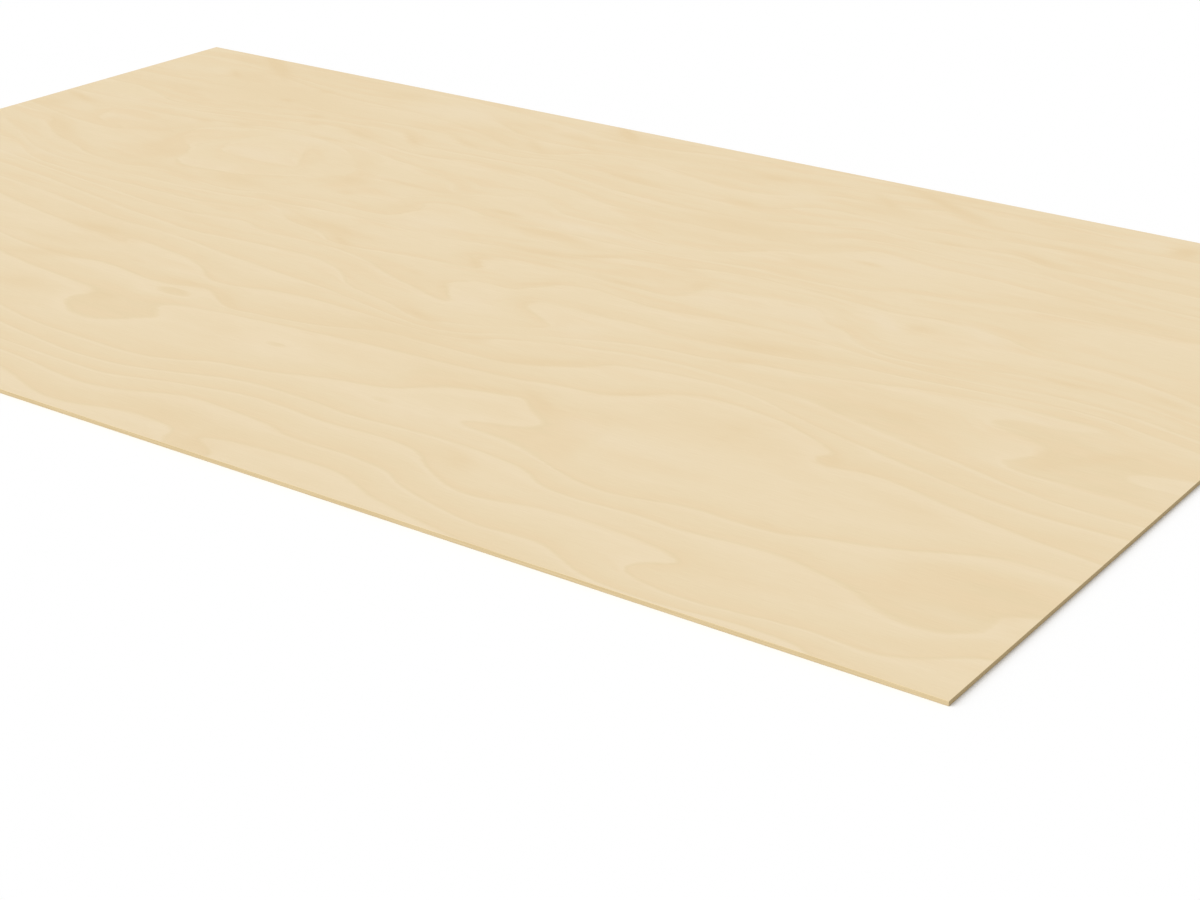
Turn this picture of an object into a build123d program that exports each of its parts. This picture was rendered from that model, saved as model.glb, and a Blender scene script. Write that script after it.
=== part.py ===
"""Wood veneer sheet: a flat rectangular sheet of pale rotary-cut hardwood, sold as raw stock.

The sheet lies on its back, with the back face on Z = 0 and the show face up. X runs along the grain and the
length, Y runs across the grain, and the origin is under the middle of the sheet. Millimetres.
"""

import os

from build123d import *

# Driving dimensions
SHEET_LENGTH = 2500.0  # along the grain, end to end
SHEET_WIDTH = 1525.0  # across the grain, edge to edge
SHEET_THICKNESS = 6.0  # back face to show face
ARRIS = 0.3  # flat taken off every sharp edge by one pass of the sanding block


def veneer_sheet():
    """The whole sheet: trimmed square by the saw, sanded to thickness, and eased along its twelve edges."""
    trimmed_outline = Rectangle(SHEET_LENGTH, SHEET_WIDTH)
    sheet = extrude(trimmed_outline, amount=SHEET_THICKNESS)
    return chamfer(sheet.edges(), ARRIS)


os.makedirs("parts", exist_ok=True)
export_step(veneer_sheet(), "parts/veneer_sheet.step")
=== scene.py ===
"""Wood veneer sheet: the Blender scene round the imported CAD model.

Metres, in the CAD frame: X runs along the grain, Y across it, and the sheet lies on its back at Z = 0.
"""

import math

import bpy
import numpy as np
from mathutils import Matrix, Vector


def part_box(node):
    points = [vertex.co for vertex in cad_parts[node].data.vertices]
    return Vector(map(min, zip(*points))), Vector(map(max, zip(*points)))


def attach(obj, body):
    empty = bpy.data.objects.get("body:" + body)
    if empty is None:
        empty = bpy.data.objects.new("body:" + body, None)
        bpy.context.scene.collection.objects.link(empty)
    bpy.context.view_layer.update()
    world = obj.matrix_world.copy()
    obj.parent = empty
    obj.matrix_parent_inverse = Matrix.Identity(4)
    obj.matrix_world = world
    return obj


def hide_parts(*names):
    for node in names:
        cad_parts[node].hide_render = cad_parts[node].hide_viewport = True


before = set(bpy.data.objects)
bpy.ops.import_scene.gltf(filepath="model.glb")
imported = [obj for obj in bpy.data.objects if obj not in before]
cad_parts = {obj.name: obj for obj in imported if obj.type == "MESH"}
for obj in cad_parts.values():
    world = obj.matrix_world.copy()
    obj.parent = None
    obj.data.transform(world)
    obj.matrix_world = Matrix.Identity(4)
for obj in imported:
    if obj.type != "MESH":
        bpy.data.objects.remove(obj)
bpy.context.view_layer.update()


# Veneer sheet: the figure
# The leaf was peeled off a turning log by a long knife, which crossed each growth ring many times. A ring
# shows as a band: brown late wood at a sharp edge, then slowly paler wood up to the next sharp edge.
# Places on the face are millimetres from the right end, along the grain, and from the front edge, across it.
GROWTH_EDGES = (
    ((2560, 45), (1700, 72), (1550, 66), (1470, 50), (1385, 22), (1330, 20), (1235, 46), (1180, 46),
     (1145, 38), (1132, 12), (1115, -15), (1070, -15), (1048, 8), (1070, 25), (1095, 38), (1060, 52),
     (900, 62), (850, 51), (800, 31), (650, 3), (400, -40), (-60, -60)),
    ((2560, 90), (2200, 120), (1700, 110), (1500, 97), (1400, 82), (1340, 82), (1280, 100), (1215, 127),
     (1150, 130), (1050, 120), (1010, 108), (900, 106), (830, 96), (800, 78), (730, 58), (650, 43),
     (560, 48), (520, 32), (470, 10), (380, 3), (250, 16), (180, 8), (160, -5), (-60, -30)),
    ((2560, 130), (2200, 155), (1700, 140), (1600, 130), (1400, 121), (1350, 124), (1280, 147),
     (1150, 176), (1100, 180), (1000, 171), (900, 177), (840, 165), (790, 130), (740, 107), (700, 104),
     (610, 124), (550, 128), (450, 119), (404, 106), (400, 98), (428, 80), (441, 66), (443, 54),
     (434, 44), (350, 28), (200, 45), (110, 43), (70, 60), (10, 100), (-60, 118)),
    ((2560, 165), (2200, 190), (1700, 182), (1550, 162), (1450, 151), (1350, 160), (1230, 198),
     (1180, 211), (1050, 212), (1000, 206), (850, 216), (750, 211), (690, 199), (655, 178), (600, 171),
     (500, 176), (450, 173), (320, 183), (260, 172), (200, 153), (160, 130), (110, 118), (70, 126),
     (37, 158), (33, 176), (36, 192), (15, 212), (-60, 225)),
    ((2560, 215), (2200, 240), (1900, 245), (1700, 225), (1600, 204), (1500, 198), (1360, 200),
     (1300, 222), (1270, 238), (1180, 256), (1100, 285), (1000, 312), (960, 345), (915, 368), (850, 383),
     (835, 385), (808, 362), (772, 337), (766, 326), (785, 307), (850, 283), (857, 276), (845, 268),
     (770, 259), (715, 243), (630, 213), (570, 208), (480, 228), (350, 231), (290, 252), (230, 268),
     (105, 323), (40, 325), (-60, 318)),
    ((2560, 420), (2100, 425), (1950, 412), (1850, 381), (1650, 354), (1622, 346), (1612, 333),
     (1626, 303), (1585, 265), (1555, 258), (1525, 260), (1480, 293), (1457, 316), (1457, 323),
     (1483, 355), (1476, 366), (1390, 388), (1250, 404), (1150, 414), (1000, 424), (900, 432), (830, 448),
     (750, 463), (694, 504), (655, 526), (600, 531), (520, 520), (460, 498), (410, 472), (408, 464),
     (418, 455), (422, 445), (412, 435), (395, 430), (340, 440), (230, 420), (100, 392), (-60, 368)),
    ((2560, 500), (2300, 500), (2100, 480), (1850, 432), (1750, 432), (1700, 442), (1550, 428),
     (1500, 446), (1480, 447), (1440, 427), (1400, 408), (1350, 411), (1250, 428), (1200, 447),
     (1150, 466), (1050, 468), (940, 473), (895, 488), (840, 522), (805, 553), (740, 571), (660, 580),
     (600, 574), (500, 541), (430, 520), (300, 489), (200, 463), (130, 454), (-60, 456)),
    ((2560, 640), (2300, 620), (2150, 600), (1950, 556), (1850, 542), (1800, 539), (1770, 532),
     (1738, 524), (1742, 536), (1752, 548), (1735, 553), (1650, 540), (1570, 520), (1530, 494),
     (1505, 481), (1470, 479), (1400, 498), (1300, 507), (1100, 504), (1045, 510), (1005, 534),
     (950, 562), (860, 590), (740, 607), (600, 602), (530, 600), (445, 576), (350, 556), (230, 526),
     (170, 508), (100, 499), (-60, 497)),
    ((2560, 690), (2300, 665), (2000, 633), (1850, 607), (1700, 600), (1550, 578), (1350, 556),
     (1150, 519), (1100, 516), (1040, 535), (1000, 562), (900, 607), (800, 641), (720, 649), (680, 662),
     (640, 672), (560, 685), (470, 708), (350, 734), (210, 741), (175, 741), (156, 736), (160, 728),
     (210, 710), (280, 698), (297, 678), (285, 667), (215, 650), (197, 640), (205, 605), (226, 574),
     (215, 562), (150, 552), (50, 550), (-60, 545), (-60, 605), (40, 605), (68, 612), (72, 621),
     (62, 634), (15, 651), (-60, 658)),
    ((2560, 740), (2300, 720), (2050, 686), (1850, 653), (1700, 633), (1600, 644), (1500, 652),
     (1430, 646), (1375, 627), (1325, 588), (1220, 560), (1160, 538), (1130, 536), (1060, 563),
     (1000, 594), (966, 621), (975, 632), (1030, 661), (1053, 677), (1047, 690), (1015, 699), (900, 701),
     (800, 702), (650, 712), (560, 740), (420, 755), (300, 770), (200, 776), (100, 755), (-60, 715)),
    ((2560, 790), (2300, 760), (2050, 725), (1850, 700), (1750, 700), (1690, 712), (1655, 716),
     (1610, 702), (1450, 703), (1385, 687), (1250, 640), (1172, 619), (1152, 620), (1160, 630),
     (1190, 664), (1199, 680), (1194, 698), (1165, 711), (1105, 717), (1083, 745), (1060, 769),
     (1010, 787), (975, 785), (900, 773), (800, 787), (670, 799), (500, 787), (400, 786), (250, 804),
     (150, 800), (-60, 745)),
    ((2560, 850), (2400, 825), (2300, 812), (2235, 772), (2150, 752), (1850, 752), (1800, 754),
     (1740, 764), (1702, 778), (1694, 795), (1680, 806), (1655, 800), (1632, 782), (1610, 766),
     (1580, 757), (1520, 746), (1485, 724), (1440, 721), (1340, 742), (1215, 757), (1203, 767),
     (1215, 777), (1252, 802), (1240, 811), (1190, 823), (1100, 832), (950, 823), (900, 827), (884, 842),
     (866, 885), (800, 904), (720, 913), (690, 911), (664, 877), (645, 862), (612, 852), (580, 820),
     (520, 802), (440, 810), (355, 842), (240, 855), (150, 848), (-60, 780)),
    ((2560, 930), (2430, 898), (2330, 848), (2260, 808), (2150, 792), (2000, 794), (1850, 797),
     (1760, 812), (1700, 824), (1660, 824), (1620, 832), (1530, 845), (1400, 838), (1310, 846),
     (1230, 867), (1120, 890), (1060, 922), (960, 948), (860, 970), (740, 972), (600, 962), (520, 975),
     (450, 975), (400, 957), (350, 938), (200, 922), (-60, 830)),
    ((2560, 1000), (2480, 985), (2400, 972), (2370, 955), (2345, 925), (2300, 893), (2230, 868),
     (2160, 838), (2100, 828), (2050, 822), (2010, 838), (1970, 845), (1900, 836), (1810, 828),
     (1765, 836), (1735, 852), (1690, 862), (1640, 871), (1505, 873), (1480, 886), (1465, 940),
     (1475, 965), (1420, 985), (1340, 965), (1240, 975), (1100, 975), (1000, 985), (900, 1000),
     (800, 1008), (740, 1008), (660, 1025), (610, 1046), (530, 1063), (470, 1080), (400, 1090),
     (250, 1102), (100, 1105), (-60, 1095)),
    ((2560, 1030), (2480, 1006), (2400, 990), (2300, 976), (2240, 976), (2213, 986), (2240, 994),
     (2290, 1006), (2316, 1022), (2328, 1055), (2312, 1080), (2260, 1096), (2190, 1104), (2130, 1112),
     (2060, 1130), (1990, 1150), (1900, 1160), (1820, 1160), (1750, 1142), (1690, 1125), (1620, 1114),
     (1560, 1098), (1510, 1078), (1470, 1038), (1420, 1060), (1340, 1092), (1300, 1076), (1262, 1051),
     (1140, 1047), (1050, 1025), (950, 1040), (860, 1108), (830, 1112), (788, 1150), (755, 1182),
     (720, 1186), (650, 1177), (550, 1178), (450, 1165), (200, 1155), (-60, 1150)),
    ((2560, 1130), (2400, 1120), (2280, 1135), (2180, 1150), (2100, 1165), (2000, 1200), (1940, 1218),
     (1870, 1218), (1835, 1208), (1780, 1192), (1700, 1175), (1620, 1180), (1540, 1198), (1460, 1193),
     (1380, 1178), (1300, 1158), (1250, 1140), (1170, 1130), (1050, 1128), (950, 1140), (850, 1190),
     (800, 1225), (600, 1235), (500, 1240), (300, 1205), (-60, 1200)),
    ((2560, 1215), (2400, 1212), (2330, 1190), (2270, 1172), (2180, 1185), (2100, 1205), (2000, 1235),
     (1900, 1252), (1820, 1262), (1760, 1256), (1735, 1238), (1708, 1218), (1640, 1222), (1500, 1230),
     (1420, 1240), (1360, 1226), (1280, 1210), (1200, 1200), (1000, 1205), (900, 1240), (800, 1285),
     (740, 1275), (690, 1278), (610, 1296), (555, 1300), (500, 1278), (300, 1285), (-60, 1290)),
    ((2560, 1290), (2350, 1305), (2200, 1305), (2100, 1300), (2000, 1285), (1900, 1290), (1800, 1300),
     (1720, 1300), (1672, 1290), (1640, 1274), (1600, 1260), (1500, 1268), (1400, 1300), (1330, 1283),
     (1270, 1262), (1100, 1262), (1000, 1270), (930, 1325), (740, 1325), (700, 1345), (620, 1345),
     (500, 1362), (200, 1350), (-60, 1350)),
    ((2560, 1345), (2440, 1330), (2300, 1372), (2345, 1405), (2250, 1430), (2000, 1380), (1800, 1375),
     (1600, 1325), (1560, 1302), (1480, 1310), (1380, 1375), (1200, 1350), (1040, 1335), (940, 1400),
     (850, 1400), (750, 1430), (660, 1402), (500, 1410), (300, 1430), (-60, 1420)),
    ((2560, 1440), (2400, 1470), (2230, 1440), (2000, 1418), (1860, 1450), (1740, 1450), (1600, 1385),
     (1420, 1375), (1200, 1420), (1000, 1440), (800, 1475), (400, 1475), (-60, 1470)),
    ((2560, 1530), (2300, 1510), (2000, 1500), (1800, 1505), (1600, 1480), (1400, 1450), (1200, 1490),
     (1000, 1510), (600, 1540), (-60, 1540)),
)
# Closed edges of hollows, where the knife dipped back into the pale end of the ring before.
HOLLOWS = (
    ((1810, 922), (1850, 903), (1900, 894), (1960, 889), (1990, 900), (2005, 925), (2012, 950),
     (2050, 985), (2080, 1000), (2095, 1030), (2100, 1060), (2060, 1105), (1990, 1132), (1900, 1144),
     (1830, 1136), (1760, 1100), (1715, 1060), (1690, 1020), (1715, 975), (1765, 945)),
    ((1792, 990), (1830, 982), (1900, 979), (1960, 985), (1983, 1005), (1988, 1040), (1980, 1085),
     (1945, 1122), (1895, 1130), (1855, 1100), (1832, 1050)),
)
# Small eyes where the knife just grazed the next ring: centre, half length and half width.
EYES = (
    (1511, 411, 33, 13),
    (1240, 340, 18, 7),
    (985, 272, 16, 5),
)
# Pools where the knife ran level with a ring, so its brown part spreads wide: ring, centre, half length,
# half width, and the power that holds the ring back from turning pale.
POOLS = (
    (4, 85, 225, 120, 100, 5.0),
    (5, 735, 330, 60, 80, 2.2),
    (5, 970, 380, 50, 40, 2.0),
    (6, 1540, 320, 90, 70, 5.0),
    (7, 1511, 411, 60, 40, 5.0),
    (8, 430, 640, 170, 70, 3.0),
    (9, 120, 640, 160, 110, 4.5),
    (12, 950, 870, 100, 60, 2.0),
)
# Soft brown flecks and pale clouds: centre, half length, half width, climb across the grain for each
# millimetre along it, and tone, where -1 is brownest and 1 is palest.
CLOUDS = (
    (905, 15, 45, 18, 0.0, -0.2),
    (1090, 20, 45, 25, 0.0, -0.6),
    (1350, 40, 55, 16, 0.0, -0.3),
    (600, 65, 60, 16, 0.0, -0.15),
    (110, 75, 50, 15, 0.0, -0.2),
    (1065, 75, 45, 12, 0.0, -0.2),
    (1160, 34, 70, 14, 0.0, 0.35),
    (1180, 75, 100, 30, 0.0, -0.5),
    (345, 105, 50, 35, 0.0, -0.3),
    (895, 125, 60, 14, 0.0, -0.2),
    (580, 145, 130, 24, 0.0, 0.3),
    (92, 165, 40, 14, 0.0, 0.25),
    (785, 180, 35, 24, 0.5, -0.6),
    (75, 205, 45, 16, 0.3, -0.25),
    (28, 205, 14, 20, 0.0, -0.25),
    (1350, 225, 60, 25, 0.0, -0.2),
    (800, 228, 60, 18, 0.0, 0.3),
    (1620, 235, 80, 18, 0.0, 0.3),
    (175, 240, 35, 35, 0.0, -0.2),
    (360, 240, 45, 8, 0.1, -0.35),
    (925, 258, 100, 32, 0.0, 0.4),
    (95, 265, 70, 22, 0.0, -0.25),
    (560, 308, 120, 14, 0.0, -0.15),
    (1730, 310, 60, 28, 0.0, -0.6),
    (1250, 310, 60, 30, 0.0, 0.25),
    (20, 338, 45, 16, 0.0, 0.35),
    (1585, 340, 26, 16, 0.0, -0.6),
    (968, 343, 25, 10, -0.7, -0.4),
    (640, 345, 90, 24, 0.0, 0.5),
    (720, 362, 38, 18, 0.0, 0.3),
    (250, 382, 65, 24, 0.25, -0.38),
    (900, 383, 50, 9, -0.3, -0.6),
    (805, 385, 35, 14, 0.6, -0.9),
    (1430, 390, 70, 12, 0.0, 0.25),
    (1020, 400, 60, 26, 0.0, -0.28),
    (690, 405, 75, 20, 0.0, -0.35),
    (1511, 411, 34, 13, 0.0, -0.3),
    (60, 412, 70, 18, -0.15, -0.3),
    (900, 422, 60, 16, 0.0, -0.22),
    (1800, 425, 65, 18, -0.33, -0.65),
    (1415, 427, 35, 12, 0.6, -0.7),
    (565, 445, 100, 48, 0.0, -0.42),
    (400, 448, 16, 16, 0.0, -0.7),
    (1200, 448, 130, 26, 0.0, -0.27),
    (1515, 450, 40, 10, 0.0, -0.7),
    (1580, 452, 60, 12, 0.0, -0.2),
    (355, 458, 45, 22, 0.0, -0.35),
    (1925, 458, 60, 18, 0.0, 0.4),
    (540, 468, 30, 14, 0.0, -0.25),
    (1860, 478, 70, 12, 0.0, -0.5),
    (728, 480, 42, 6, -0.65, -0.9),
    (1130, 490, 150, 35, 0.0, -0.35),
    (838, 490, 30, 16, 0.0, 0.25),
    (1000, 500, 35, 14, 0.0, 0.25),
    (530, 500, 45, 14, -0.3, -0.2),
    (920, 505, 50, 25, 0.0, -0.2),
    (1795, 510, 60, 22, 0.0, -0.33),
    (880, 512, 70, 16, -0.6, -0.6),
    (1025, 520, 22, 10, 0.0, -0.6),
    (1510, 528, 60, 16, 0.2, -0.2),
    (1155, 550, 50, 10, 0.25, -0.9),
    (1820, 556, 60, 16, 0.0, -1.0),
    (250, 565, 35, 15, 0.0, 0.3),
    (780, 575, 70, 18, 0.0, 0.3),
    (1830, 590, 100, 18, 0.0, -0.25),
    (15, 590, 40, 40, 0.0, 0.3),
    (580, 610, 50, 22, 0.0, -0.2),
    (910, 612, 60, 20, 0.0, 0.25),
    (185, 620, 18, 40, 0.0, -0.5),
    (405, 630, 45, 14, 0.0, -0.7),
    (80, 635, 30, 20, 0.0, -0.22),
    (340, 640, 45, 20, 0.0, -0.17),
    (930, 640, 40, 25, 0.0, 0.5),
    (1135, 642, 45, 36, 0.2, 0.6),
    (1190, 655, 30, 10, 1.3, -0.6),
    (125, 650, 50, 22, -1.1, -0.6),
    (672, 668, 25, 9, -0.6, -0.8),
    (1245, 668, 70, 28, 0.3, -0.3),
    (1720, 680, 80, 22, 0.0, -0.27),
    (1060, 682, 14, 22, 0.0, -0.5),
    (945, 708, 45, 8, 0.0, -0.3),
    (260, 718, 70, 14, 0.0, 0.3),
    (690, 720, 25, 8, 0.0, -0.3),
    (670, 733, 100, 20, -0.15, -0.6),
    (1465, 736, 30, 10, 0.5, -0.8),
    (1085, 760, 28, 9, -0.8, -0.6),
    (2290, 765, 60, 30, 0.0, 0.45),
    (1222, 775, 22, 10, 0.9, -0.8),
    (1515, 780, 105, 22, 0.0, -0.55),
    (800, 790, 50, 14, 0.0, -0.25),
    (1440, 795, 60, 14, 0.0, 0.25),
    (2190, 800, 50, 18, -0.3, 0.3),
    (1640, 790, 28, 20, 0.0, 0.4),
    (1232, 805, 16, 10, 0.0, -0.6),
    (625, 825, 60, 18, 0.0, 0.4),
    (990, 835, 30, 10, 0.0, -0.6),
    (1140, 840, 40, 18, 0.0, -0.2),
    (265, 855, 45, 8, 0.0, -0.7),
    (2030, 855, 110, 25, 0.0, -0.3),
    (1440, 862, 60, 12, 0.0, 0.3),
    (845, 862, 35, 34, 0.0, 0.4),
    (760, 870, 80, 34, 0.0, 0.2),
    (690, 885, 40, 28, 0.0, 0.45),
    (1170, 874, 60, 9, -0.17, -0.7),
    (130, 876, 35, 9, 0.25, -0.6),
    (1815, 876, 60, 20, 0.0, -0.5),
    (885, 890, 16, 22, 0.0, -0.6),
    (1405, 890, 60, 32, 0.0, 0.5),
    (1965, 905, 45, 15, 0.0, 0.3),
    (1088, 912, 36, 10, -0.65, -0.7),
    (580, 918, 40, 18, 0.7, 0.8),
    (1500, 920, 36, 36, 0.0, -0.35),
    (2040, 920, 40, 30, 0.0, -0.4),
    (528, 925, 24, 14, 0.0, -0.6),
    (2310, 925, 70, 20, 0.55, -0.6),
    (1625, 930, 14, 7, 0.0, -0.7),
    (945, 938, 40, 10, 0.0, -0.5),
    (1140, 945, 45, 20, 0.0, -0.35),
    (2100, 945, 40, 22, 0.0, -0.25),
    (437, 951, 48, 18, 0.5, 0.65),
    (1235, 955, 65, 13, 0.0, -0.6),
    (1690, 960, 45, 16, 0.0, -0.2),
    (850, 970, 45, 14, 0.0, -0.2),
    (1660, 990, 45, 14, 0.0, -0.5),
    (375, 1000, 45, 32, 0.0, -0.25),
    (1340, 1000, 32, 8, 0.0, -0.9),
    (1120, 1010, 90, 18, 0.0, 0.4),
    (1210, 1008, 70, 30, 0.0, 0.5),
    (1895, 1012, 72, 28, 0.0, 0.6),
    (1570, 1027, 75, 7, 0.0, -0.7),
    (1470, 1030, 35, 15, 0.0, -0.25),
    (1800, 1030, 24, 28, 0.0, -0.3),
    (2150, 1030, 70, 50, 0.6, -0.3),
    (2270, 1035, 40, 16, 0.0, 0.3),
    (2460, 1035, 40, 26, 0.0, -0.5),
    (230, 1050, 90, 20, 0.0, 0.2),
    (1710, 1070, 35, 25, 0.0, -0.27),
    (770, 1085, 70, 14, 0.0, -0.2),
    (2440, 1085, 70, 18, 0.0, -0.25),
    (1010, 1090, 90, 20, 0.0, -0.35),
    (2445, 1095, 60, 10, 0.33, -0.6),
    (2130, 1110, 20, 9, 0.0, -0.6),
    (1390, 1090, 70, 16, 0.0, 0.27),
    (340, 1125, 140, 36, 0.0, -0.3),
    (725, 1130, 30, 9, 0.0, -1.0),
    (1890, 1130, 80, 20, 0.0, 0.55),
    (2050, 1130, 25, 12, 0.0, -0.6),
    (2350, 1140, 110, 16, 0.0, 0.33),
    (700, 1150, 80, 30, 0.0, 0.6),
    (1760, 1155, 50, 22, 0.0, 0.35),
    (1865, 1155, 60, 8, 0.0, -0.8),
    (812, 1165, 35, 22, -0.6, -0.3),
    (980, 1168, 120, 40, 0.0, -0.5),
    (1880, 1172, 80, 16, 0.0, 0.3),
    (1480, 1190, 40, 15, 0.0, -0.25),
    (560, 1200, 60, 25, 0.0, 0.3),
    (430, 1205, 60, 12, 0.0, -0.2),
    (1835, 1208, 50, 9, 0.25, -0.7),
    (1950, 1213, 16, 9, 0.0, -0.6),
    (2140, 1235, 60, 18, 0.0, -0.25),
    (1735, 1238, 32, 10, 0.8, -0.9),
    (1630, 1250, 50, 18, 0.0, 0.25),
    (1980, 1253, 16, 9, 0.0, -0.7),
    (620, 1255, 110, 20, 0.0, 0.22),
    (2330, 1260, 90, 20, 0.0, -0.35),
    (2480, 1272, 40, 16, 0.0, -0.27),
    (1260, 1272, 70, 12, 0.1, -0.6),
    (1050, 1275, 30, 12, 0.0, -0.7),
    (1640, 1276, 40, 8, 0.42, -0.7),
    (672, 1288, 25, 10, 0.0, -0.6),
    (515, 1297, 50, 12, 0.28, -0.7),
    (800, 1300, 60, 15, 0.0, 0.3),
    (2100, 1305, 14, 8, 0.0, -0.6),
    (330, 1310, 60, 20, 0.0, -0.2),
    (1600, 1325, 50, 9, 0.35, -0.6),
    (2120, 1330, 230, 90, 0.0, -0.35),
    (1525, 1335, 45, 12, 0.7, -0.6),
    (2450, 1362, 50, 25, 0.0, 0.3),
    (985, 1368, 45, 22, 0.0, 0.4),
    (480, 1372, 90, 10, 0.0, -0.5),
    (1650, 1378, 50, 20, 0.0, -0.27),
    (830, 1380, 80, 28, 0.0, -0.4),
    (1430, 1380, 40, 10, 0.63, -0.4),
    (2360, 1390, 40, 25, 0.0, 0.35),
    (2318, 1392, 26, 10, 0.7, -0.8),
    (2080, 1395, 16, 10, 0.0, -0.6),
    (1860, 1400, 110, 18, 0.0, 0.35),
    (2265, 1400, 50, 28, 0.0, -0.33),
    (1120, 1405, 75, 18, 0.0, -0.35),
    (855, 1420, 30, 12, 0.8, -0.6),
    (1500, 1420, 55, 10, 0.1, -0.5),
    (1075, 1425, 40, 12, 0.0, -0.7),
    (1000, 1432, 50, 14, 0.0, -0.25),
    (1330, 1430, 100, 18, 0.0, -0.3),
    (1610, 1435, 45, 28, 0.0, -0.3),
    (1770, 1440, 80, 36, 0.0, 0.6),
    (1170, 1445, 80, 18, 0.0, -0.2),
    (540, 1450, 75, 22, 0.0, -0.3),
    (765, 1463, 110, 14, 0.49, -0.8),
    (350, 1465, 22, 26, 0.0, -1.0),
    (1945, 1465, 60, 32, 0.0, -0.45),
    (410, 1475, 35, 35, 0.0, 0.5),
    (1520, 1475, 35, 22, 0.0, 0.4),
    (2290, 1485, 80, 20, 0.75, -0.9),
    (1390, 1488, 110, 22, 0.0, -0.3),
    (2180, 1490, 130, 28, 0.0, -0.35),
    (2370, 1490, 50, 28, 0.0, -0.3),
    (1435, 1495, 40, 14, 0.75, -1.0),
    (1640, 1502, 45, 16, 0.0, 0.35),
    (760, 1505, 60, 22, 0.0, -0.25),
)
# Plain places, where the knife ran along the fibre and the rings hardly show: centre, half length and half
# width.
PLAINS = (
    (1020, 578, 110, 26),
    (200, 1020, 110, 42),
    (430, 1030, 120, 26),
    (1620, 1065, 120, 28),
    (1745, 1040, 62, 75),
    (1900, 1110, 110, 30),
    (950, 1170, 130, 36),
    (2420, 1170, 90, 34),
    (2150, 1330, 190, 60),
    (1000, 1380, 60, 30),
    (2400, 1400, 100, 45),
    (1250, 1420, 140, 36),
    (1800, 1425, 120, 45),
)
FAR_CLOUDS = 700.0  # further than this from the front edge, clouds are stronger
FAR_CLOUD_GAIN = 1.3
FURTHEST_EDGE = 300.0  # a ring is never taken to be wider than twice this
FADE = 50.0  # brown wood turns pale within this distance of a sharp edge
BROWN_REACH = 10.0  # width of the brown line past a sharp edge
PALE_REACH = 30.0  # width of the pale line before the next sharp edge
DROP_REACH = 7.0  # width of the drop from pale to brown, at the end of the pale line
# In a narrow ring, these three are no wider than the ring's width divided by this.
BROWN_PARTS, PALE_PARTS, DROP_PARTS = 4, 3, 6
# Shares of a ring's number that the brown line, the fade, the pale line and the drop take up.
BROWN_SHARE, FADE_SHARE, PALE_SHARE, DROP_SHARE = 0.12, 0.64, 0.12, 0.12
SPANS_PER_POINT = 4
MM = 0.001


def growth_curve(points):
    """Centripetal Catmull-Rom curve: it goes through every point, and knots lie root-of-distance apart.

    Between b and c it is a blend of blends of the straight lines from a to b, b to c and c to d.
    """
    p = np.array(points, np.float32)
    p = np.vstack([2 * p[0] - p[1], p, 2 * p[-1] - p[-2]])
    a, b, c, d = (p[i : len(p) - 3 + i, None] for i in range(4))
    knot_b = np.sqrt(np.linalg.norm(b - a, axis=2, keepdims=True))
    knot_c = knot_b + np.sqrt(np.linalg.norm(c - b, axis=2, keepdims=True))
    knot_d = knot_c + np.sqrt(np.linalg.norm(d - c, axis=2, keepdims=True))
    t = knot_b + (knot_c - knot_b) * np.linspace(0, 1, SPANS_PER_POINT, endpoint=False)[None, :, None]
    ab = a + (b - a) * t / knot_b
    bc = b + (c - b) * (t - knot_b) / (knot_c - knot_b)
    cd = c + (d - c) * (t - knot_c) / (knot_d - knot_c)
    abc = ab + (bc - ab) * t / knot_c
    bcd = bc + (cd - bc) * (t - knot_b) / (knot_d - knot_b)
    curve = abc + (bcd - abc) * (t - knot_b) / (knot_c - knot_b)
    return np.vstack([curve.reshape(-1, 2), p[-2:-1]])


def reach_to_edge(x, y, curve):
    """Distance from each place to the nearest span of the curve, and whether the place is past the curve.

    A place is past it if a line straight down from there crosses an odd number of spans.
    """
    start, end = curve[:-1, None], curve[1:, None]
    run, climb = (end - start)[..., 0], (end - start)[..., 1]
    dx, dy = x - start[..., 0], y - start[..., 1]
    share = np.clip((dx * run + dy * climb) / (run**2 + climb**2), 0, 1)
    distance = np.sqrt(np.min((dx - share * run) ** 2 + (dy - share * climb) ** 2, axis=0))
    spans = (dx >= 0) != (x - end[..., 0] >= 0)
    under = dy * np.abs(run) > dx * climb * np.sign(run)
    return distance, np.sum(spans & under, axis=0) % 2 == 1


def sharp_edges(x, y):
    """Distance to each sharp edge in turn, and whether each place is past it.

    Past an eye's edge is inside the eye, and past a hollow's edge is outside the hollow. The radius in an
    eye is 1 on its edge, and the distance is how far it is from 1, in half widths.
    """
    for points in GROWTH_EDGES:
        yield reach_to_edge(x, y, growth_curve(points))
    for points in HOLLOWS:
        distance, inside = reach_to_edge(x, y, growth_curve((*points, points[0])))
        yield distance, ~inside
    for eye_x, eye_y, half_length, half_width in EYES:
        radius = np.hypot((x - eye_x) / half_length, (y - eye_y) / half_width)
        yield np.abs(radius - 1) * half_width, radius < 1


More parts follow.
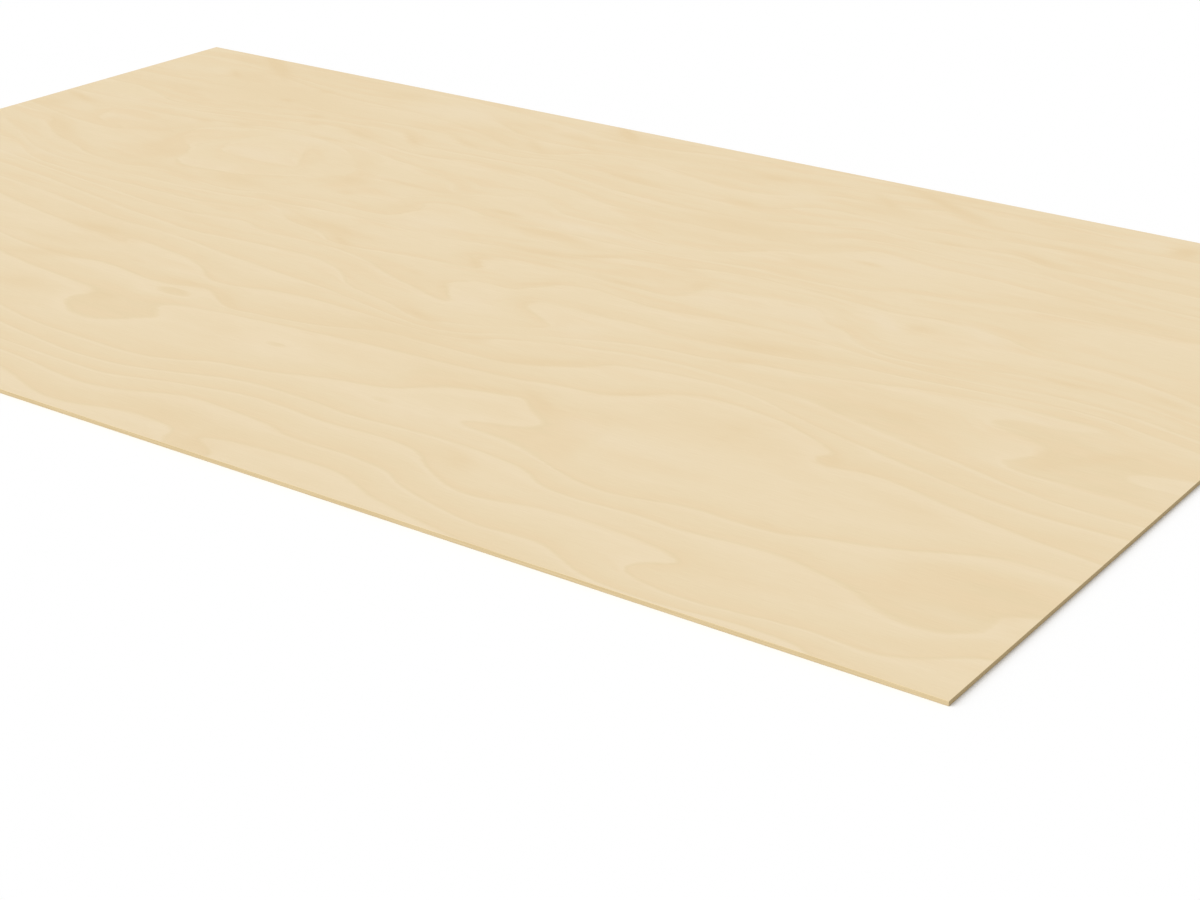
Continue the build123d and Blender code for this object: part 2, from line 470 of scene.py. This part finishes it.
def ring_number(x, y):
    """Growth ring at each place: how many sharp edges lie before it, plus the share of its own ring so far.

    The share is a sum of four that rise with distance: the brown line past the sharp edge, the fade from
    brown to pale, and the pale line before the next edge with the drop at its end. A pool, which is a
    flat-topped bell curve in its ring, raises the fade to a power and stretches it over the whole ring.
    The count starts at minus the number of hollows, because most places lie outside them all.
    """
    passed = np.full(x.shape, -len(HOLLOWS), np.float32)
    before = np.full(x.shape, FURTHEST_EDGE, np.float32)
    after = np.full(x.shape, FURTHEST_EDGE, np.float32)
    for distance, past in sharp_edges(x, y):
        passed += past
        before = np.where(past, np.minimum(before, distance), before)
        after = np.where(past, after, np.minimum(after, distance))
    width = before + after
    power = np.ones(x.shape, np.float32)
    fade = np.full(x.shape, FADE, np.float32)
    for pool_ring, pool_x, pool_y, half_length, half_width, hold in POOLS:
        inside = np.exp(-(((x - pool_x) / half_length) ** 4) - ((y - pool_y) / half_width) ** 4)
        inside = inside * (passed == pool_ring)
        power += (hold - 1) * inside
        fade += np.maximum(width - FADE, 0) * inside
    brown_line = np.minimum(1, before / np.minimum(BROWN_REACH, width / BROWN_PARTS))
    faded = np.minimum(1, before / np.minimum(width, fade)) ** power
    pale_line = np.maximum(0, 1 - after / np.minimum(PALE_REACH, width / PALE_PARTS))
    drop = np.maximum(0, 1 - after / np.minimum(DROP_REACH, width / DROP_PARTS))
    share = BROWN_SHARE * brown_line + FADE_SHARE * faded + PALE_SHARE * pale_line + DROP_SHARE * drop
    return passed + share


def cloud_tone(x, y):
    """Sum of soft clouds, each a bell curve along the grain and across it, sheared by its climb."""
    tone = np.zeros(x.shape, np.float32)
    for cloud_x, cloud_y, half_length, half_width, climb, strength in CLOUDS:
        along = x - cloud_x
        across = y - cloud_y - climb * along
        gain = FAR_CLOUD_GAIN if cloud_y > FAR_CLOUDS else 1.0
        tone += gain * strength * np.exp(-((along / half_length) ** 2) - (across / half_width) ** 2)
    return tone


def plainness(x, y):
    """How plain each place is, from 0 to 1: the highest of the plain places' flat-topped bell curves."""
    plain = np.zeros(x.shape, np.float32)
    for plain_x, plain_y, half_length, half_width in PLAINS:
        reach = ((x - plain_x) / half_length) ** 2 + ((y - plain_y) / half_width) ** 2
        plain = np.maximum(plain, np.exp(-(reach**2)))
    return plain


FLAME_END = 420.0  # the grain is calm up to this distance from the front edge
CALM_GRAIN = 0.35  # how wild the calm grain is, where 1 is wildest


def wildness(y):
    """How wild the grain is: calm up to the flame's end, then in a straight line to 1 at twice as far."""
    return CALM_GRAIN + (1 - CALM_GRAIN) * np.clip(y / FLAME_END - 1, 0, 1)


# Veneer sheet: the leaf
# One flat piece of pale hardwood, sanded on both faces and trimmed square by the saw, with the sharp edges
# taken off. Both faces show the same rings, a little apart, because a ring goes through the leaf at a slant.
SHEET_LOW, SHEET_HIGH = (np.array(corner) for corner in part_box("veneer_sheet"))
ARRIS = 0.3 * MM  # flat along every sharp edge
CELLS_ALONG, CELLS_ACROSS = 190, 250
BACK_FACE_RINGS = 0.4  # rings between the show face and the back at the same place
FACE, LONG_EDGE, END_GRAIN = range(3)  # finishes, in the order of the mesh's materials


def at_height(flat, z):
    """Places in the plane at height z."""
    return np.column_stack([flat.reshape(-1, 2), np.full(flat.size // 2, z)])


def strip(above, below):
    """Quads of a closed band between two rows of vertices, each from one vertex of both rows to the next."""
    return np.column_stack([below, np.roll(below, -1), np.roll(above, -1), above])


def sheet_mesh():
    """Closed sheet: a flat grid for each face, and three strips of quads round the edge that join them.

    Along u and v the grids go straight from one arris to the other. The strips are the show face's arris,
    the sawn edge and the back's arris. At a corner of the sheet, a quad of either arris is a triangle.
    """
    inner_low, inner_high = SHEET_LOW[:2] + ARRIS, SHEET_HIGH[:2] - ARRIS
    u_steps, v_steps = np.linspace(0, 1, CELLS_ALONG + 1), np.linspace(0, 1, CELLS_ACROSS + 1)
    u, v = np.meshgrid(u_steps, v_steps, indexing="ij")
    flat = inner_low + np.stack([u, v], axis=-1) * (inner_high - inner_low)
    flat_count = u.size
    show = np.arange(flat_count).reshape(u.shape)
    sides = ((show[:, 0], (0, -1)), (show[-1], (1, 0)), (show[::-1, -1], (0, 1)), (show[0, ::-1], (-1, 0)))
    rim = np.concatenate([side for side, direction in sides])
    outward = np.concatenate([np.tile(direction, (len(side), 1)) for side, direction in sides])
    rim_flat = flat.reshape(-1, 2)[rim] + ARRIS * outward
    upper = 2 * flat_count + np.arange(len(rim))
    lower = upper + len(rim)
    places = np.vstack([
        at_height(flat, SHEET_HIGH[2]),
        at_height(flat, SHEET_LOW[2]),
        at_height(rim_flat, SHEET_HIGH[2] - ARRIS),
        at_height(rim_flat, SHEET_LOW[2] + ARRIS),
    ])
    show_quads = np.stack([show[:-1, :-1], show[1:, :-1], show[1:, 1:], show[:-1, 1:]], axis=-1)
    show_quads = show_quads.reshape(-1, 4)
    back_quads = show_quads[:, ::-1] + flat_count
    show_arris, sawn, back_arris = strip(rim, upper), strip(upper, lower), strip(lower, rim + flat_count)
    corner = rim == np.roll(rim, -1)
    faces = [
        *show_quads.tolist(),
        *back_quads.tolist(),
        *sawn.tolist(),
        *show_arris[~corner].tolist(),
        *back_arris[~corner].tolist(),
        *show_arris[corner][:, [0, 1, 2]].tolist(),
        *back_arris[corner][:, [0, 2, 3]].tolist(),
    ]
    side_finish = np.where(outward[:, 0] == 0, LONG_EDGE, END_GRAIN)
    finish = np.concatenate([
        np.full(2 * len(show_quads), FACE),
        side_finish,
        side_finish[~corner],
        side_finish[~corner],
        side_finish[corner],
        side_finish[corner],
    ])
    mesh = bpy.data.meshes.new("veneer_leaf")
    mesh.from_pydata(places.tolist(), [], faces)
    mesh.polygons.foreach_set("material_index", finish.astype(np.int32))
    return mesh, flat.reshape(-1, 2), rim


leaf_mesh, leaf_places, leaf_rim = sheet_mesh()
from_right_end = ((SHEET_HIGH[0] - leaf_places[:, 0]) / MM).astype(np.float32)
from_front_edge = ((leaf_places[:, 1] - SHEET_LOW[1]) / MM).astype(np.float32)


def add_attribute(name, show_values, back_step=0.0):
    """Gives every vertex of the leaf a number: show face, back, and both rows round the edge.

    The numbers of the back and of the lower row are the show face's plus the step.
    """
    rim_values = show_values[leaf_rim]
    values = np.concatenate([show_values, show_values + back_step, rim_values, rim_values + back_step])
    attribute = leaf_mesh.attributes.new(name, "FLOAT", "POINT")
    attribute.data.foreach_set("value", values.astype(np.float32))


add_attribute("growth_ring", ring_number(from_right_end, from_front_edge), BACK_FACE_RINGS)
add_attribute("cloud_tone", cloud_tone(from_right_end, from_front_edge))
add_attribute("wild_grain", wildness(from_front_edge))
add_attribute("plain_grain", plainness(from_right_end, from_front_edge))


# Veneer sheet: the wood
# Pale close-grained hardwood, sanded and left bare. Sanded fibre has a dull sheen. The sawn long edge is a
# little browner than the faces, and the ends, which show the open grain, are darker: partly tint, partly
# painted shade.
SRGB_OFFSET, SRGB_POWER = 0.055, 2.4


def colour(red, green, blue):
    """Linear colour of a tint in sRGB numbers from 0 to 255.

    It is the power curve that holds for all but the darkest tints.
    """
    tint = np.array([red, green, blue]) / 255
    linear = ((tint + SRGB_OFFSET) / (1 + SRGB_OFFSET)) ** SRGB_POWER
    return (*linear.tolist(), 1.0)


def add_node(tree, kind, sockets, **settings):
    """Adds a node with its settings. Each input in sockets gets a value, or a link from another socket."""
    node = tree.nodes.new(kind)
    for setting, value in settings.items():
        setattr(node, setting, value)
    for socket, value in sockets.items():
        if isinstance(value, bpy.types.NodeSocket):
            tree.links.new(value, node.inputs[socket])
        else:
            node.inputs[socket].default_value = value
    return node


def calculate(tree, operation, first, second=0.0, third=0.0):
    """One step of arithmetic, such as ADD, MULTIPLY, or FRACT for the part of a number past its point."""
    numbers = {0: first, 1: second, 2: third}
    return add_node(tree, "ShaderNodeMath", numbers, operation=operation).outputs[0]


def spread(tree, value, low, high, to_low, to_high):
    """Straight line that takes low to to_low and high to to_high, and goes past neither."""
    sockets = {"Value": value, "From Min": low, "From Max": high, "To Min": to_low, "To Max": to_high}
    return add_node(tree, "ShaderNodeMapRange", sockets).outputs["Result"]


# Noise lies about the middle of this range and hardly leaves it.
NOISE_LOW, NOISE_MIDDLE, NOISE_HIGH = 0.3, 0.5, 0.7


def spread_noise(tree, noise, to_low, to_high):
    """Straight line that takes the ends of the range of noise to to_low and to_high."""
    return spread(tree, noise, NOISE_LOW, NOISE_HIGH, to_low, to_high)


MIX_SHARE, MIX_FIRST, MIX_SECOND, MIX_RESULT = 0, 6, 7, 2  # sockets of a mix node that is set to colours


def blend_colour(tree, share, first, second, blend="MIX"):
    """First colour plus a share of the step to the second, or to first times second if blend is MULTIPLY."""
    sockets = {MIX_SHARE: share, MIX_FIRST: first, MIX_SECOND: second}
    node = add_node(tree, "ShaderNodeMix", sockets, data_type="RGBA", blend_type=blend)
    return node.outputs[MIX_RESULT]


def colour_ramp(tree, share, stops):
    """Colour at a share from 0 to 1, on straight lines between stops, each with its share and colour."""
    node = add_node(tree, "ShaderNodeValToRGB", {"Fac": share})
    elements = node.color_ramp.elements
    for element, (position, tint) in zip((elements[0], elements[1]), (stops[0], stops[-1])):
        element.position, element.color = position, tint
    for position, tint in stops[1:-1]:
        elements.new(position).color = tint
    return node.outputs["Color"]


FIBRE_DETAIL, FIBRE_ROUGHNESS = 3.0, 0.6  # finer waves over the main one, and how strong they are


def make_fibre_group():
    """Streaks of fibre: noise stretched along the grain, with this many waves in a metre each way."""
    tree = bpy.data.node_groups.new("wood_fibre", "ShaderNodeTree")
    tree.interface.new_socket("Waves per metre", in_out="INPUT", socket_type="NodeSocketVector")
    tree.interface.new_socket("Streak", in_out="OUTPUT", socket_type="NodeSocketFloat")
    given = tree.nodes.new("NodeGroupInput")
    made = tree.nodes.new("NodeGroupOutput")
    place = add_node(tree, "ShaderNodeTexCoord", {}).outputs["Object"]
    stretched = add_node(tree, "ShaderNodeMapping", {"Vector": place, "Scale": given.outputs[0]}).outputs[0]
    sockets = {"Vector": stretched, "Scale": 1.0, "Detail": FIBRE_DETAIL, "Roughness": FIBRE_ROUGHNESS}
    noise = add_node(tree, "ShaderNodeTexNoise", sockets)
    tree.links.new(noise.outputs["Fac"], made.inputs["Streak"])
    return tree


wood_fibre = make_fibre_group()


def fibre(tree, waves):
    """Streaks of fibre with these waves in a metre along the grain, across it and through the sheet."""
    node = add_node(tree, "ShaderNodeGroup", {"Waves per metre": waves}, node_tree=wood_fibre)
    return node.outputs["Streak"]


STREAKS_ALONG, STREAKS_ACROSS = 5.5, 15.0  # waves in a metre
STREAKS_PER_RING = 2.0  # waves in a ring
STREAK_DETAIL, STREAK_ROUGHNESS = 2.0, 0.5


def ring_streaks(tree, number):
    """Streaks that bend with the rings: noise on a plane with the place along the grain as one axis.

    The other axis is the place across the grain plus the ring number. Each is multiplied by its waves.
    """
    place = add_node(tree, "ShaderNodeTexCoord", {}).outputs["Object"]
    grain = add_node(tree, "ShaderNodeSeparateXYZ", {"Vector": place}).outputs
    along = calculate(tree, "MULTIPLY", grain["X"], STREAKS_ALONG)
    with_rings = calculate(tree, "MULTIPLY", number, STREAKS_PER_RING)
    across = calculate(tree, "MULTIPLY_ADD", grain["Y"], STREAKS_ACROSS, with_rings)
    bent = add_node(tree, "ShaderNodeCombineXYZ", {"X": along, "Y": across}).outputs["Vector"]
    sockets = {"Vector": bent, "Scale": 1.0, "Detail": STREAK_DETAIL, "Roughness": STREAK_ROUGHNESS}
    return add_node(tree, "ShaderNodeTexNoise", sockets, noise_dimensions="2D").outputs["Fac"]


def read_attribute(tree, name):
    """Number that the mesh holds at its vertices under this name, in straight lines between them."""
    return add_node(tree, "ShaderNodeAttribute", {}, attribute_name=name).outputs["Fac"]


def new_material(name):
    """New material, with its node tree and the shader in it."""
    material = bpy.data.materials.new(name)
    material.use_nodes = True
    return material, material.node_tree, material.node_tree.nodes["Principled BSDF"]


DARKEST = colour(231.3, 208.6, 169)
BROWN_LINE = colour(231, 211, 172.8)
BROWN = colour(234, 212.4, 175)
MID_TAN = colour(234.2, 214.8, 178.5)
PLAIN_TAN = colour(234.7, 215.8, 180.2)
PALE = colour(235.3, 216.4, 181.4)
PALE_LINE = colour(237, 218.4, 184.8)
PALEST = colour(236.6, 219, 187)
# Colours over a ring, from one sharp edge to the next.
RING_COLOURS = (
    (0.0, MID_TAN),
    (0.08, BROWN_LINE),
    (0.16, BROWN),
    (0.46, MID_TAN),
    (0.75, PALE),
    (0.83, PALE_LINE),
    (0.95, PALE_LINE),
    (1.0, MID_TAN),
)
# Fine fibre multiplies the colour under it by these.
PALE_FIBRE, BROWN_FIBRE = (1.022, 1.033, 1.048, 1.0), (0.978, 0.967, 0.952, 1.0)
# Waves in a metre along the grain, across it and through the sheet.
DRIFT_WAVES, RUFFLE_WAVES = (4.0, 30.0, 1.0), (9.0, 130.0, 1.0)
PATCH_WAVES, FINE_WAVES = (6.0, 12.0, 1.0), (28.0, 1300.0, 1.0)
DRIFT, RUFFLE = 0.12, 0.05  # most that noise adds to the ring number or takes off it
PATCH_START, PATCH_FULL = 0.44, 0.60  # noise from which the rings fade, and at which they have faded
FADING_GRAIN = 0.4  # in grain as wild as this or less, rings don't fade
FADING = 0.55  # most that the rings fade in patches, in the wildest grain
PLAIN_FADING = 0.8  # most that the figure fades in plain places
BROWN_STREAK, PALE_STREAK = 0.9, 0.8  # strongest streaks in the wildest grain
SMOOTHEST, ROUGHEST = 0.6, 0.75
FACE_GLOSS, EDGE_GLOSS = 0.08, 0.15
FACE_BUMP, EDGE_BUMP = 0.1, 0.3  # share of the fibre's height that shows
FACE_FIBRE_HEIGHT, EDGE_FIBRE_HEIGHT = 0.2 * MM, 0.3 * MM


def face_material():
    """Sanded face: the part of the ring number past its point picks the colour, after noise has moved it.

    Over the rings come patches where they fade, then streaks, plain places and clouds. Fine fibre multiplies
    the colour, and where it is brown the wood is rougher and stands a little higher.
    """
    material, tree, wood = new_material("sanded_veneer_face")
    number = read_attribute(tree, "growth_ring")
    wild = read_attribute(tree, "wild_grain")
    drift = spread_noise(tree, fibre(tree, DRIFT_WAVES), -DRIFT, DRIFT)
    ruffle = spread_noise(tree, fibre(tree, RUFFLE_WAVES), -RUFFLE, RUFFLE)
    shift = calculate(tree, "MULTIPLY", calculate(tree, "ADD", drift, ruffle), wild)
    ruffled = calculate(tree, "ADD", number, shift)
    ringed = colour_ramp(tree, calculate(tree, "FRACT", ruffled), RING_COLOURS)
    patch = spread(tree, fibre(tree, PATCH_WAVES), PATCH_START, PATCH_FULL, 0.0, 1.0)
    fading = calculate(tree, "MULTIPLY", patch, spread(tree, wild, FADING_GRAIN, 1.0, 0.0, FADING))
    faded = blend_colour(tree, fading, ringed, PLAIN_TAN)
    streak = ring_streaks(tree, number)
    brown_streak = spread(tree, streak, NOISE_MIDDLE, NOISE_HIGH, 0.0, BROWN_STREAK)
    pale_streak = spread(tree, streak, NOISE_MIDDLE, NOISE_LOW, 0.0, PALE_STREAK)
    browner = blend_colour(tree, calculate(tree, "MULTIPLY", brown_streak, wild), faded, BROWN)
    streaked = blend_colour(tree, calculate(tree, "MULTIPLY", pale_streak, wild), browner, PALE)
    plain = calculate(tree, "MULTIPLY", read_attribute(tree, "plain_grain"), PLAIN_FADING)
    calmed = blend_colour(tree, plain, streaked, PLAIN_TAN)
    cloud = read_attribute(tree, "cloud_tone")
    flecked = blend_colour(tree, spread(tree, cloud, 0.0, -1.0, 0.0, 1.0), calmed, DARKEST)
    clouded = blend_colour(tree, spread(tree, cloud, 0.0, 1.0, 0.0, 1.0), flecked, PALEST)
    fine_fibre = fibre(tree, FINE_WAVES)
    fibre_tint = blend_colour(tree, spread_noise(tree, fine_fibre, 0.0, 1.0), PALE_FIBRE, BROWN_FIBRE)
    fibred = blend_colour(tree, 1.0, clouded, fibre_tint, "MULTIPLY")
    tree.links.new(fibred, wood.inputs["Base Color"])
    tree.links.new(spread_noise(tree, fine_fibre, SMOOTHEST, ROUGHEST), wood.inputs["Roughness"])
    wood.inputs["Specular IOR Level"].default_value = FACE_GLOSS
    raised = {"Strength": FACE_BUMP, "Distance": FACE_FIBRE_HEIGHT, "Height": fine_fibre}
    tree.links.new(add_node(tree, "ShaderNodeBump", raised).outputs["Normal"], wood.inputs["Normal"])
    return material


def edge_material(name, dark, pale, waves):
    """Sawn edge: streaks of fibre pick a colour from dark to pale. Dark streaks are rougher and lower."""
    material, tree, wood = new_material(name)
    streak = fibre(tree, waves)
    streaked = blend_colour(tree, spread_noise(tree, streak, 0.0, 1.0), dark, pale)
    tree.links.new(streaked, wood.inputs["Base Color"])
    tree.links.new(spread_noise(tree, streak, ROUGHEST, SMOOTHEST), wood.inputs["Roughness"])
    wood.inputs["Specular IOR Level"].default_value = EDGE_GLOSS
    raised = {"Strength": EDGE_BUMP, "Distance": EDGE_FIBRE_HEIGHT, "Height": streak}
    tree.links.new(add_node(tree, "ShaderNodeBump", raised).outputs["Normal"], wood.inputs["Normal"])
    return material


# Edge colours are darker than the face partly from the wood's own tint and open grain, and partly as painted
# shade.
LONG_EDGE_DARK, LONG_EDGE_PALE = colour(217, 193, 146), colour(229, 208, 166)
END_GRAIN_DARK, END_GRAIN_PALE = colour(214, 187, 138), colour(229, 204, 155)
LONG_EDGE_WAVES, END_GRAIN_WAVES = (12.0, 900.0, 900.0), (500.0, 260.0, 900.0)

leaf_mesh.materials.append(face_material())
leaf_mesh.materials.append(edge_material("sawn_long_edge_painted_shade", LONG_EDGE_DARK, LONG_EDGE_PALE, LONG_EDGE_WAVES))
leaf_mesh.materials.append(edge_material("end_grain_painted_shade", END_GRAIN_DARK, END_GRAIN_PALE, END_GRAIN_WAVES))
veneer_leaf = bpy.data.objects.new("veneer_leaf", leaf_mesh)
bpy.context.scene.collection.objects.link(veneer_leaf)
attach(veneer_leaf, "root")
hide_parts("veneer_sheet")


# Floor
# Plain white studio floor that the sheet lies on. The camera sees it white, and to the light that bounces
# off it, it is grey, so that the edges of the sheet stay in shade.
FLOOR_HALF = 30.0  # of its length and width
FLOOR_DROP = 0.1 * MM  # under the sheet's back, so that the two don't share a plane
WHITE, FLOOR_BOUNCE = (1.0, 1.0, 1.0, 1.0), (0.5, 0.5, 0.5, 1.0)


def seen_directly(tree):
    """Highest of three numbers, which are 1 for a ray from the camera, off gloss or through glass."""
    path = add_node(tree, "ShaderNodeLightPath", {}).outputs
    glossy = calculate(tree, "MAXIMUM", path["Is Camera Ray"], path["Is Glossy Ray"])
    return calculate(tree, "MAXIMUM", glossy, path["Is Transmission Ray"])


floor_mesh = bpy.data.meshes.new("studio_floor")
floor_corners = np.array([(-1, -1), (1, -1), (1, 1), (-1, 1)]) * FLOOR_HALF
floor_mesh.from_pydata([(x, y, -FLOOR_DROP) for x, y in floor_corners.tolist()], [], [(0, 1, 2, 3)])
floor_paint = bpy.data.materials.new("white_floor")
floor_paint.use_nodes = True
floor_tree = floor_paint.node_tree
floor_tree.nodes.clear()
floor_bounce = add_node(floor_tree, "ShaderNodeBsdfDiffuse", {"Color": FLOOR_BOUNCE}).outputs[0]
floor_white = add_node(floor_tree, "ShaderNodeBsdfDiffuse", {"Color": WHITE}).outputs[0]
floor_mix = {0: seen_directly(floor_tree), 1: floor_bounce, 2: floor_white}
floor_shader = add_node(floor_tree, "ShaderNodeMixShader", floor_mix).outputs[0]
add_node(floor_tree, "ShaderNodeOutputMaterial", {"Surface": floor_shader})
floor_mesh.materials.append(floor_paint)
studio_floor = bpy.data.objects.new("studio_floor", floor_mesh)
bpy.context.scene.collection.objects.link(studio_floor)


# Studio light
# A broad soft lamp over the front left corner, and an even white room. Together they give a face that looks
# up a light of 1, so that a colour renders as it is written.
ROOM_LIGHT, LAMP_LIGHT = 0.55, 0.45  # on a face that looks up
BACKDROP_LIGHT = 1.0  # of the room where it is seen directly
LAMP_HEIGHT = math.radians(38)
LAMP_WIDTH = math.radians(50)
LAMP_FROM = Vector((-0.62, -0.78, 0.0)).normalized()

world = bpy.data.worlds.new("studio")
world.use_nodes = True
world_tree = world.node_tree
world_strength = spread(world_tree, seen_directly(world_tree), 0.0, 1.0, ROOM_LIGHT, BACKDROP_LIGHT)
world_background = world_tree.nodes["Background"]
world_background.inputs["Color"].default_value = WHITE
world_tree.links.new(world_strength, world_background.inputs["Strength"])
bpy.context.scene.world = world

lamp = bpy.data.lights.new("studio_lamp", "SUN")
lamp.energy = LAMP_LIGHT * math.pi / math.sin(LAMP_HEIGHT)
lamp.angle = LAMP_WIDTH
lamp_object = bpy.data.objects.new("studio_lamp", lamp)
to_lamp = LAMP_FROM * math.cos(LAMP_HEIGHT) + Vector((0, 0, math.sin(LAMP_HEIGHT)))
lamp_object.rotation_mode = "QUATERNION"
lamp_object.rotation_quaternion = to_lamp.to_track_quat("Z", "Y")
bpy.context.scene.collection.objects.link(lamp_object)


# Camera
# Stands off the front right corner, a little over a metre up, and looks down across the sheet. Its lens is
# fairly long, and it is held almost level.
CAMERA_PLACE = Vector((2.1470, -2.6467, 1.2006))
CAMERA_DOWN, CAMERA_TURN, CAMERA_ROLL = (math.radians(angle) for angle in (23.982, 35.316, 0.153))
CAMERA_LENS, CAMERA_SENSOR = 69.44, 36.0

camera = bpy.data.cameras.new("studio_camera")
camera.sensor_fit = "HORIZONTAL"
camera.sensor_width = CAMERA_SENSOR
camera.lens = CAMERA_LENS
camera_object = bpy.data.objects.new("studio_camera", camera)
camera_aim = Matrix.Rotation(CAMERA_TURN, 4, "Z") @ Matrix.Rotation(math.pi / 2 - CAMERA_DOWN, 4, "X")
camera_turn = camera_aim @ Matrix.Rotation(CAMERA_ROLL, 4, "Z")
camera_object.matrix_world = Matrix.Translation(CAMERA_PLACE) @ camera_turn
bpy.context.scene.collection.objects.link(camera_object)
bpy.context.scene.camera = camera_object
bpy.context.scene.view_settings.view_transform = "Standard"
